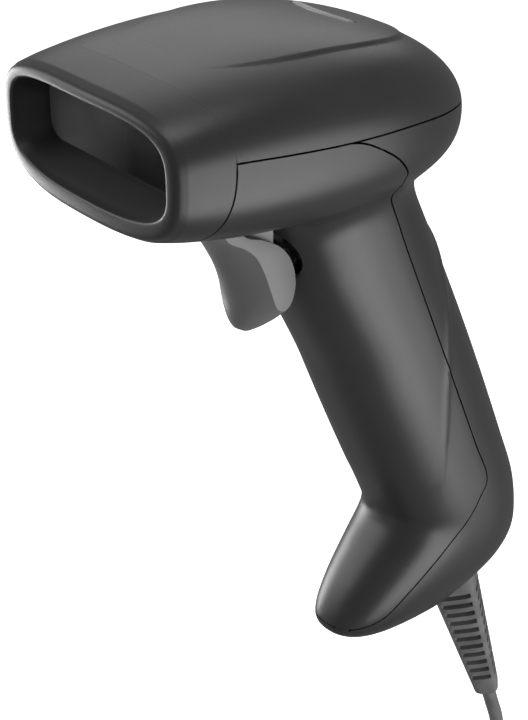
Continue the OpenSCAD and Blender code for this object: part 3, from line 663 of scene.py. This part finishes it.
grip = {
    "depth": 42.5, "width": 32.4, "lean": math.tan(math.radians(23.4)), "neckZ": 57.5, "wristZ": -33.5,
    "toeReach": 16.6, "toeDrop": 35.0, "heelOut": 2.8, "swell": 2.4, "middleZ": 3.0, "power": 2.6,
    "sideSeam": 5.2, "ringPoints": 120,
    "toeFan": [(-0.08, 0.16, 0.80, 0.33, 0.98), (0.31, 0.39, 1.00, 0.53, 0.94),
               (0.70, 0.61, 0.10, 0.69, 0.87), (0.97, 0.81, -1.50, 0.80, 0.77),
               (1.00, 0.91, -3.60, 0.91, 0.65), (0.76, 1.00, -5.40, 1.00, 0.53)],
}
grip["soleZ"] = grip["wristZ"] - grip["toeDrop"]


def gripY(z):
    return -z * grip["lean"]


def gripHalf(z):
    return grip["depth"] / 2 - 1.3 * ((z - grip["middleZ"]) / 45) ** 2


def gripFront(z):
    return gripY(z) - gripHalf(z) - grip["swell"] * ease((z - grip["middleZ"] - 7) / 30)


def gripBack(z):
    return gripY(z) + gripHalf(z)


def gripStations():
    top = grip["neckZ"] + 9
    rows = [(gripFront(top), top, gripBack(top) + 4, top, grip["width"] / 2 + 1.6)]
    for z in np.linspace(grip["neckZ"], grip["wristZ"], 8):
        rows.append((gripFront(z), z, gripBack(z), z, grip["width"] / 2))
    wrist = grip["wristZ"]
    for outFront, downFront, outBack, downBack, wide in grip["toeFan"]:
        rows.append((gripFront(wrist) - grip["toeReach"] * outFront, wrist - grip["toeDrop"] * downFront,
                     gripBack(wrist) + grip["heelOut"] * outBack, wrist - grip["toeDrop"] * downBack,
                     grip["width"] / 2 * wide))
    return rows


def gripRings():
    rings = []
    for frontY, frontZ, backY, backZ, half in smoothLine(gripStations(), 7):
        frontZ, backZ = max(frontZ, grip["soleZ"]), max(backZ, grip["soleZ"])
        middle = Vector((0, (frontY + backY) / 2, (frontZ + backZ) / 2))
        across = Vector((0, backY - frontY, backZ - frontZ)) / 2
        reach, power = across.length, grip["power"]
        outline = squareRing(half, reach, reach, power, power, grip["ringPoints"])
        rings.append([middle + Vector((x, 0, 0)) + across * (y / across.length) for x, y in outline])
    return rings


triggerSlot = {
    "centre": (-51.907, 43.2), "radius": 12.5, "halfWidth": 10.2, "fromY": -62.9, "toY": -49.5, "fromZ": 47.0,
}


# ---- the lower shells' skin: head and grip as one, with a soft root where they meet

lower = {"voxel": 0.85, "soften": 6, "rootSize": 9.0, "steps": 4, "fitFromZ": -27.0, "fitFullZ": -20.0}


def remeshed(bm, voxel):
    mesh = bpy.data.meshes.new("draft")
    bm.to_mesh(mesh)
    bm.free()
    draft = bpy.data.objects.new("draft", mesh)
    bpy.context.scene.collection.objects.link(draft)
    modifier = draft.modifiers.new("remesh", "REMESH")
    modifier.mode = "VOXEL"
    modifier.voxel_size = voxel
    shown = draft.evaluated_get(bpy.context.evaluated_depsgraph_get())
    solid = bpy.data.meshes.new_from_object(shown)
    made = newMesh()
    made.from_mesh(solid)
    bpy.data.objects.remove(draft)
    bpy.data.meshes.remove(mesh)
    bpy.data.meshes.remove(solid)
    return made


def headField(p):
    y = np.clip(p[:, 1], head["rimY"], head["backY"] - 0.3)
    half, top, low, mid, powerUp, powerDown = headSizes(y)
    above = p[:, 2] >= mid
    reach = np.where(above, top - mid, mid - low)
    power = np.where(above, powerUp, powerDown)
    return ((np.abs(p[:, 0]) / half) ** power + (np.abs(p[:, 2] - mid) / reach) ** power) ** (1 / power) - 1


def gripField(p):
    z = np.clip(p[:, 2], grip["wristZ"], grip["neckZ"] + 9)
    middle = (gripFront(z) + gripBack(z)) / 2
    reach = (gripBack(z) - gripFront(z)) / 2
    wide = grip["width"] / 2 + 1.6 * ease((z - grip["neckZ"]) / 9)
    n = grip["power"]
    return ((np.abs(p[:, 0]) / wide) ** n + (np.abs(p[:, 1] - middle) / reach) ** n) ** (1 / n) - 1


# joins two forms with a soft root between them
def softUnion(first, firstWay, second, secondWay, size):
    near = np.maximum(size - np.abs(first - second), 0) / size
    share = np.where(first < second, near / 2, 1 - near / 2)[:, None]
    return np.minimum(first, second) - near ** 2 * size / 4, firstWay * (1 - share) + secondWay * share


# distance to a form and the direction away from it, from differences of its field
def distanceTo(field, p):
    step = 0.02
    slope = np.stack([(field(p + step * axis) - field(p - step * axis)) / (2 * step)
                      for axis in np.eye(3)], axis=1)
    size = np.maximum(np.linalg.norm(slope, axis=1), 1e-6)
    return field(p) / size, slope / size[:, None]


# moves the remeshed skin onto the exact forms, rounding the root between them
def fitSkin(bm):
    p = places(bm)
    weight = ease((p[:, 2] - lower["fitFromZ"]) / (lower["fitFullZ"] - lower["fitFromZ"]))
    weight *= ease((head["backY"] - 2.5 - p[:, 1]) / 2) * ease((p[:, 1] - head["rimY"] - 1) / 2)
    for _ in range(lower["steps"]):
        blended, way = softUnion(*distanceTo(headField, p), *distanceTo(gripField, p), lower["rootSize"])
        way /= np.maximum(np.linalg.norm(way, axis=1), 1e-6)[:, None]
        p = p - way * (np.clip(blended, -1.2, 1.2) * weight)[:, None]
    for vert, place in zip(bm.verts, p):
        vert.co = place


def smoothAll(bm, factor, times):
    for _ in range(times):
        bmesh.ops.smooth_vert(bm, verts=bm.verts[:], factor=factor,
                              use_axis_x=True, use_axis_y=True, use_axis_z=True)


def lowerSkin():
    bm = newMesh()
    rings = [headRing(head["rimY"] + s * head["length"]) for s in np.linspace(0, 0.82, 60)[:-1]]
    rings += [headRing(head["rimY"] + s * head["length"])
              for s in 0.82 + 0.18 * np.sin(np.linspace(0, 0.98 * math.pi / 2, 24))]
    loftRings(bm, rings, closeStart=True, closeEnd=True)
    loftRings(bm, gripRings(), closeStart=True, closeEnd=True)
    bmesh.ops.recalc_face_normals(bm, faces=bm.faces[:])
    bm = remeshed(bm, lower["voxel"])
    smoothAll(bm, 0.5, lower["soften"])
    fitSkin(bm)
    smoothAll(bm, 0.3, 2)
    faceOutwards(bm, (0, -20, 20))
    return bm


# ---- seams

seams = {"gap": 0.44, "hairline": 0.04, "arcRadius": 32.0, "arcBack": 14.4, "wall": 2.0}
beltZ, rimY = head["beltZ"], head["rimY"]
beltLine = smoothLine([(rimY - 5, beltZ + 3.1), (rimY + 14, beltZ + 2.2), (rimY + 27, beltZ + 1.1),
                       (rimY + 42, beltZ - 0.1), (rimY + 60, beltZ - 0.9), (rimY + 72, beltZ - 2.0),
                       (rimY + 81, beltZ - 3.2), (head["backY"] + 2, beltZ - 6.2)])
podLine = [(rimY + 41, beltZ + 0.25), (rimY + 45.8, beltZ - 1.0), (rimY + 49.9, beltZ - 3.0),
           (rimY + 55, beltZ - 6.2), (rimY + 58.3, beltZ - 9.0), (rimY + 61.3, beltZ - 12.4),
           (rimY + 62.6, beltZ - 16)]
seamLowZ = grip["wristZ"] + 6
gripSeam = [(gripY(z) + grip["sideSeam"], z) for z in np.linspace(grip["neckZ"] - 2, seamLowZ, 9)]
wristFront, wristBack = gripFront(grip["wristZ"]), gripBack(grip["wristZ"])
heelSeam = [(wristBack - out, grip["wristZ"] - down)
            for out, down in ((20.2, -0.3), (23.8, 5.2), (27.8, 9.5), (34, 15.6), (40.8, 21.9))]
toeSeam = [(wristFront - out, grip["wristZ"] - down)
           for out, down in ((6, 27.4), (11.6, 29.6), (18, 30.2), (30, 29.8))]
rearLine = smoothLine([(rimY + 35, beltZ + 1.9)] + podLine + gripSeam + heelSeam + toeSeam
                      + [(-200, grip["wristZ"] - 28)])
arcCentre = (rimY + seams["arcBack"] - seams["arcRadius"], beltZ + 1)


# distance behind the bezel's seam; the gap closes to a hairline over the top
def behindArc(side):
    def field(p):
        away = np.hypot(p[:, 1] - arcCentre[0], p[:, 2] - arcCentre[1]) - seams["arcRadius"]
        opened = ease((beltZ + 3.6 - p[:, 2]) / 3)
        half = seams["hairline"] / 2 + (seams["gap"] - seams["hairline"]) / 2 * opened
        return away - side * half
    return field


# gives a skin a wall: the copy stays outside, the first skin is turned over and moved in
def thicken(bm, wall):
    bm.normal_update()
    inwards = [(vert, vert.normal * wall) for vert in bm.verts]
    bmesh.ops.extrude_face_region(bm, geom=bm.faces[:], use_keep_orig=True)
    for vert, step in inwards:
        vert.co -= step


# ---- top cover, with its raised panel

panel = {"middleY": -42.5, "halfLength": 32.5, "halfWidth": 20.5, "power": 2.3, "height": 0.5, "soft": 0.55,
         "fadeFrom": -70.0, "fadeTo": -48.0}


def panelShape(p):
    n = panel["power"]
    across = np.abs(p[:, 0]) / panel["halfWidth"]
    along = np.abs(p[:, 1] - panel["middleY"]) / panel["halfLength"]
    return 1 - (across ** n + along ** n) ** (1 / n)


def panelField(p):
    step = 0.02
    sideways = np.array([step, 0, 0])
    forward = np.array([0, step, 0])
    slope = np.hypot(panelShape(p + sideways) - panelShape(p - sideways),
                     panelShape(p + forward) - panelShape(p - forward)) / (2 * step)
    return panelShape(p) / np.maximum(slope, 0.01)


def makeCover():
    bm = headSkin(rimY)
    cutAlong(bm, sideOfLine(beltLine, -seams["gap"] / 2), clearBelow=True)
    cutAlong(bm, behindArc(1), clearBelow=True)
    for level in (-panel["soft"], 0.0, panel["soft"]):
        cutAlong(bm, lambda p, level=level: panelField(p) - level)
    p = places(bm)
    rise = panel["height"] * ease((panelField(p) + panel["soft"]) / (2 * panel["soft"]))
    fade = ease((p[:, 1] - panel["fadeFrom"]) / (panel["fadeTo"] - panel["fadeFrom"]))
    rise = rise * fade * (p[:, 2] > head["middleZ"] + 4)
    for vert, up in zip(bm.verts, rise):
        vert.co.z += up
    cutLightSlot(bm)
    thicken(bm, seams["wall"])
    return addPiece("topCoverShell", bm, "shell_plastic", "housing", "top_cover")


lightBar = {"width": 19.0, "depth": 2.2, "y": -28.4, "sag": 2.2, "proud": 0.3, "deep": 3.0, "play": 0.15}


def barLine(x):
    return lightBar["y"] + lightBar["sag"] * (x / (lightBar["width"] / 2)) ** 2


def cutLightSlot(bm):
    def field(p):
        dx = np.abs(p[:, 0]) - lightBar["width"] / 2 - lightBar["play"]
        dy = np.abs(p[:, 1] - barLine(p[:, 0])) - lightBar["depth"] / 2 - lightBar["play"]
        return np.where(p[:, 2] > head["middleZ"], np.maximum(dx, dy), 5.0)
    for side in (-1, 1):
        shift = side * (lightBar["depth"] / 2 + lightBar["play"])
        cutAlong(bm, lambda p, shift=shift: p[:, 1] - barLine(p[:, 0]) - shift)
    cutAlong(bm, field, clearBelow=True)


def makeLightBar():
    bm = newMesh()
    outline = roundedBox(lightBar["width"], lightBar["depth"], 0.8, 96)
    rings = []
    for inset, drop in ((0.0, -lightBar["deep"]), (0.0, -0.25), (0.1, 0.0), (0.4, lightBar["proud"])):
        ring = []
        for x, y in outline:
            x = x * (1 - 2 * inset / lightBar["width"])
            y = barLine(x) + y * (1 - 2 * inset / lightBar["depth"])
            half, top, low, mid, powerUp, powerDown = headSizes(np.array(y))
            surface = float(mid + (top - mid) * (1 - (abs(x) / half) ** powerUp) ** (1 / powerUp))
            ring.append(Vector((x, y, surface + panel["height"] + drop)))
        rings.append(ring)
    loftRings(bm, rings, closeStart=True, closeEnd=True)
    stem = bmesh.ops.create_cube(bm, size=1)["verts"]
    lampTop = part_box("status_led")[1].z / mm
    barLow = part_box("status_light_pipe")[1].z / mm - lightBar["deep"]
    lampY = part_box("status_led")[0].y / mm
    reach = lampY + 1.6 - lightBar["y"]
    bmesh.ops.scale(bm, vec=(3.6, reach, barLow - lampTop + 0.4), verts=stem)
    stemY, stemZ = lightBar["y"] + reach / 2 - 0.4, (barLow + lampTop) / 2 + 0.4
    bmesh.ops.translate(bm, vec=(0, stemY, stemZ), verts=stem)
    faceOutwards(bm, (0, lightBar["y"], 90))
    return addPiece("statusLightBar", bm, "light_pipe", "housing", "status_light_pipe")


# ---- nose bezel: outer band, rounded lip and the funnel down to the window

bezel = {
    "lip": 3.6, "topLip": 2.6, "lowLip": 4.3, "outerRound": 1.6, "innerRound": 0.7, "sideBow": 1.4,
    "window": (48.0, 13.6, 4.0), "windowZ": 82.6, "windowY": -80.65, "wall": 1.3, "funnelRings": 7,
}


def makeBezel():
    bm = newMesh()
    middle = head["middleZ"]
    openHalf = head["noseWidth"] / 2 - bezel["lip"]
    openUp = head["noseHeight"] / 2 - bezel["topLip"]
    openDown = head["noseHeight"] / 2 - bezel["lowLip"]
    count = head["ringPoints"]

    def openingRing(grow, y):
        ring = squareRing(openHalf + grow, openUp + grow, openDown + grow, 3.9, 3.1, count)
        return [Vector((x, y, middle + z)) for x, z in ring]

    windowOutline = roundedBox(*bezel["window"], count)
    windowRing = [Vector((x, bezel["windowY"], bezel["windowZ"] + z)) for x, z in windowOutline]
    inner, outer = bezel["innerRound"], bezel["outerRound"]
    mouth = openingRing(0, rimY + inner)
    rings = [[v + Vector((0, 0.15, 0)) for v in windowRing], windowRing]
    for t in np.linspace(0, 1, bezel["funnelRings"])[1:]:
        rings.append([a.lerp(b, float(t)) for a, b in zip(windowRing, mouth)])
    for a in np.radians([22, 45, 67, 90]):
        rings.append(openingRing(inner * (1 - math.cos(a)), rimY + inner * (1 - math.sin(a))))
    for a in np.radians([90, 67, 45, 22, 0]):
        rings.append(headRing(rimY, outer * (1 - math.cos(a)), rimY + outer * (1 - math.sin(a))))
    for y in np.arange(rimY + outer + 0.8, rimY + 20, 0.8):
        rings.append(headRing(y))
    for ring in rings[2:]:
        for v in ring:
            fade = float(ease((rimY + 9 - v.y) / 9))
            v.y += bezel["sideBow"] * fade * (v.x / (head["noseWidth"] / 2)) ** 2
    loftRings(bm, rings)
    bmesh.ops.recalc_face_normals(bm, faces=bm.faces[:])
    band = [f for f in bm.faces if f.calc_center_median().y > rimY + 10]
    if sum(f.normal.dot(f.calc_center_median() - Vector((0, -80, middle))) for f in band) < 0:
        bmesh.ops.reverse_faces(bm, faces=bm.faces[:])
    cutAlong(bm, behindArc(-1), clearAbove=True)
    thicken(bm, bezel["wall"])
    return addPiece("noseBezelRing", bm, "bezel_plastic", "housing", "nose_bezel", sharp=0.75)


# ---- front and rear shells

screwHoles = {
    "radius": 2.8, "sleeve": 3.6, "gripZ": (22.0, -22.0), "gripSeat": 8.0, "coverX": 17.0, "coverY": -9.0,
}
boot = {
    "tip": (40.2, -115.0), "lean": math.radians(20.1), "length": 52.0, "root": 6.4, "end": 3.4, "play": 0.35,
    "power": 4.2, "slots": 11, "firstSlot": 8.2, "slotPitch": 3.75, "slotWidth": 1.9, "slotDepth": 1.5,
    "slotReach": 0.70, "ringPoints": 128,
}


# half the side of the boot's square section
def bootSize(s):
    return boot["end"] + (boot["root"] - boot["end"]) * np.clip(s / (boot["length"] - 4), 0, 1)


def onBoot(s):
    tipY, tipZ = boot["tip"]
    return Vector((0, tipY - s * math.sin(boot["lean"]), tipZ + s * math.cos(boot["lean"])))


def slotField(p):
    cy, cz = triggerSlot["centre"]
    disc = np.hypot(p[:, 1] - cy, p[:, 2] - cz) - triggerSlot["radius"]
    middle = (triggerSlot["fromY"] + triggerSlot["toY"]) / 2
    reach = (triggerSlot["toY"] - triggerSlot["fromY"]) / 2
    neck = np.maximum(np.abs(p[:, 1] - middle) - reach, triggerSlot["fromZ"] - p[:, 2])
    return np.maximum(np.abs(p[:, 0]) - triggerSlot["halfWidth"], np.minimum(disc, neck))


# the boot's section is a square on its corner: its corners point ahead, behind and to the sides
def bootHoleField(p):
    axis = np.array((onBoot(1) - onBoot(0)).normalized())
    ahead = np.array([0, -math.cos(boot["lean"]), -math.sin(boot["lean"])])
    away = p - np.array(onBoot(0))
    along = away @ axis
    u = np.abs(away[:, 0] + away @ ahead) / math.sqrt(2)
    w = np.abs(away[:, 0] - away @ ahead) / math.sqrt(2)
    n = boot["power"]
    reach = (u ** n + w ** n) ** (1 / n) - bootSize(along) - boot["play"]
    return np.maximum(reach, p[:, 2] + 50)


def screwField(p):
    holes = [np.maximum(np.hypot(p[:, 0], p[:, 2] - z) - screwHoles["radius"], gripY(p[:, 2]) + 8 - p[:, 1])
             for z in screwHoles["gripZ"]]
    cover = np.hypot(np.abs(p[:, 0]) - screwHoles["coverX"], p[:, 1] - screwHoles["coverY"])
    holes.append(np.maximum(cover - screwHoles["radius"], np.abs(p[:, 2] - 64) - 8))
    return np.min(holes, axis=0)


# a sleeve round a sunk screw, from the shell's skin to the screw's seat
def addSleeve(bm, start, end):
    axis = (end - start).normalized()
    side = Vector((1, 0, 0))
    up = axis.cross(side)
    rings = []
    bore, outside = screwHoles["radius"], screwHoles["sleeve"]
    for radius, place in ((bore, start), (bore, end), (outside, end), (outside, start), (bore, start)):
        rings.append([place + radius * (side * math.cos(a) + up * math.sin(a))
                      for a in np.arange(40) * 2 * math.pi / 40])
    loftRings(bm, rings)


def makeLowerShells():
    skin = lowerSkin()
    cutAlong(skin, sideOfLine(beltLine, seams["gap"] / 2), clearAbove=True)
    rear = skin.copy()
    cutAlong(skin, behindArc(1), clearBelow=True)
    cutAlong(skin, sideOfLine(rearLine, seams["gap"] / 2), clearAbove=True)
    for side in (-1, 1):
        cutAlong(skin, lambda p, side=side: p[:, 0] - side * triggerSlot["halfWidth"])
    cutAlong(skin, slotField, clearBelow=True)
    thicken(skin, seams["wall"])
    addPiece("frontShellSkin", skin, "shell_plastic", "housing", "front_shell")
    cutAlong(rear, sideOfLine(rearLine, -seams["gap"] / 2), clearBelow=True)
    cutAlong(rear, bootHoleField, clearBelow=True)
    cutAlong(rear, screwField, clearBelow=True)
    thicken(rear, seams["wall"])
    for z in screwHoles["gripZ"]:
        seat = gripY(z) + grip["sideSeam"] + screwHoles["gripSeat"]
        addSleeve(rear, Vector((0, gripBack(z) - 1.2, z)), Vector((0, seat, z)))
    bmesh.ops.remove_doubles(rear, verts=rear.verts, dist=0.0005)
    addPiece("rearShellSkin", rear, "shell_plastic", "housing", "rear_shell")


# ---- trigger

trigger = {
    "halfWidth": 9.5, "crown": 1.6, "stations": 31, "bevel": 0.6,
    "sideFront": [(-61.8, 60.5), (-59.7, 56.5), (-55.4, 53.8), (-52.3, 51), (-50.1, 47), (-48.6, 43),
                  (-47.4, 39.5), (-46.6, 37.4), (-45.8, 36.3)],
    "middleFront": [(-61.8, 60.5), (-58.3, 52.6), (-54.2, 43.7), (-52.3, 37), (-52, 33.1), (-51, 30.2),
                    (-49, 28.8)],
    "sideBack": [(-45.8, 36.3), (-44.8, 35.7), (-43.5, 35.9), (-42.3, 37.0), (-41.5, 39), (-41.1, 41.6),
                 (-41.6, 45.2), (-42.9, 48.4), (-45.6, 51.6), (-50.2, 54.4), (-54.8, 56.3), (-58.5, 60.5)],
    "middleBack": [(-49, 28.8), (-46, 29.4), (-43.2, 32), (-41.8, 35.4), (-41.2, 38), (-41.1, 41.6),
                   (-41.6, 45.2), (-42.9, 48.4), (-45.6, 51.6), (-50.2, 54.4), (-54.8, 56.3), (-58.5, 60.5)],
}


def makeTrigger():
    bm = newMesh()
    fronts = [evenly(smoothLine(trigger[k]), 34) for k in ("sideFront", "middleFront")]
    backs = [evenly(smoothLine(trigger[k]), 34) for k in ("sideBack", "middleBack")]
    side = np.vstack([fronts[0][:-1], backs[0][:-1], backs[0][-1:]])
    middle = np.vstack([fronts[1][:-1], backs[1][:-1], backs[1][-1:]])
    rings = []
    for u in np.sin(np.linspace(-math.pi / 2, math.pi / 2, trigger["stations"])):
        share = 1 - ((u * u + 0.03) ** (trigger["crown"] / 2) - 0.03 ** (trigger["crown"] / 2)) / 0.9636
        outline = side * (1 - share) + middle * share
        rings.append([Vector((u * trigger["halfWidth"], y, z)) for y, z in outline])
    loftRings(bm, rings, closeStart=True, closeEnd=True)
    bmesh.ops.recalc_face_normals(bm, faces=bm.faces[:])
    caps = [f for f in bm.faces if len(f.verts) > 10]
    rims = [e for f in caps for e in f.edges]
    bmesh.ops.bevel(bm, geom=rims, offset=trigger["bevel"], segments=3, profile=0.5, affect="EDGES",
                    material=-1, clamp_overlap=True)
    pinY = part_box("trigger_pin")[0].lerp(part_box("trigger_pin")[1], 0.5) / mm
    neck = bmesh.ops.create_cube(bm, size=1)["verts"]
    bmesh.ops.scale(bm, vec=(14.4, 6.8, 14), verts=neck)
    bmesh.ops.translate(bm, vec=(0, pinY.y, pinY.z - 9), verts=neck)
    turned = Matrix.Rotation(math.pi / 2, 4, "Y")
    eye = bmesh.ops.create_cone(bm, cap_ends=True, segments=40, radius1=3.4, radius2=3.4, depth=14.4)["verts"]
    bmesh.ops.transform(bm, matrix=Matrix.Translation(pinY) @ turned, verts=eye)
    bmesh.ops.recalc_face_normals(bm, faces=bm.faces[:])
    return addPiece("fingerTrigger", bm, "trigger_plastic", "trigger", "trigger", sharp=0.7)


# ---- strain relief

def makeBoot():
    bm = newMesh()
    ahead = Vector((0, -math.cos(boot["lean"]), -math.sin(boot["lean"])))
    side = Vector((1, 0, 0))
    n = boot["power"]

    def ring(s, slotted=0.0, size=1.0):
        points = []
        for k in range(boot["ringPoints"]):
            a = 2 * math.pi * k / boot["ringPoints"]
            u, w = math.cos(a), math.sin(a)
            reach = float(bootSize(s)) * size / (abs(u) ** n + abs(w) ** n) ** (1 / n)
            u, w = u * reach, w * reach
            edge = min(abs(u), abs(w)) / float(bootSize(s))
            sunk = slotted * boot["slotDepth"] * float(ease((boot["slotReach"] - edge) / 0.1))
            if abs(u) > abs(w):
                u -= math.copysign(sunk, u)
            else:
                w -= math.copysign(sunk, w)
            points.append(onBoot(s) + (side * (u + w) + ahead * (u - w)) / math.sqrt(2))
        return points

    rings = [ring(0, size=0.72), ring(0.05, size=0.8), ring(1.2, size=0.98), ring(1.9)]
    wide = boot["slotWidth"]
    for k in range(boot["slots"]):
        s = boot["firstSlot"] + k * boot["slotPitch"]
        rings += [ring(s - 0.3), ring(s), ring(s + 0.18, 1.0), ring(s + wide - 0.18, 1.0), ring(s + wide),
                  ring(s + wide + 0.3)]
    rings += [ring(s) for s in np.linspace(boot["firstSlot"] + boot["slots"] * boot["slotPitch"], 58, 5)]
    rings += [ring(58.05, size=1.16), ring(60, size=1.16)]
    loftRings(bm, rings, closeStart=True, closeEnd=True)
    faceOutwards(bm, onBoot(25))
    return addPiece("cableBoot", bm, "boot_rubber", "housing", "strain_relief", sharp=0.6)


makeCover()
makeLightBar()
makeBezel()
makeLowerShells()
makeTrigger()
makeBoot()
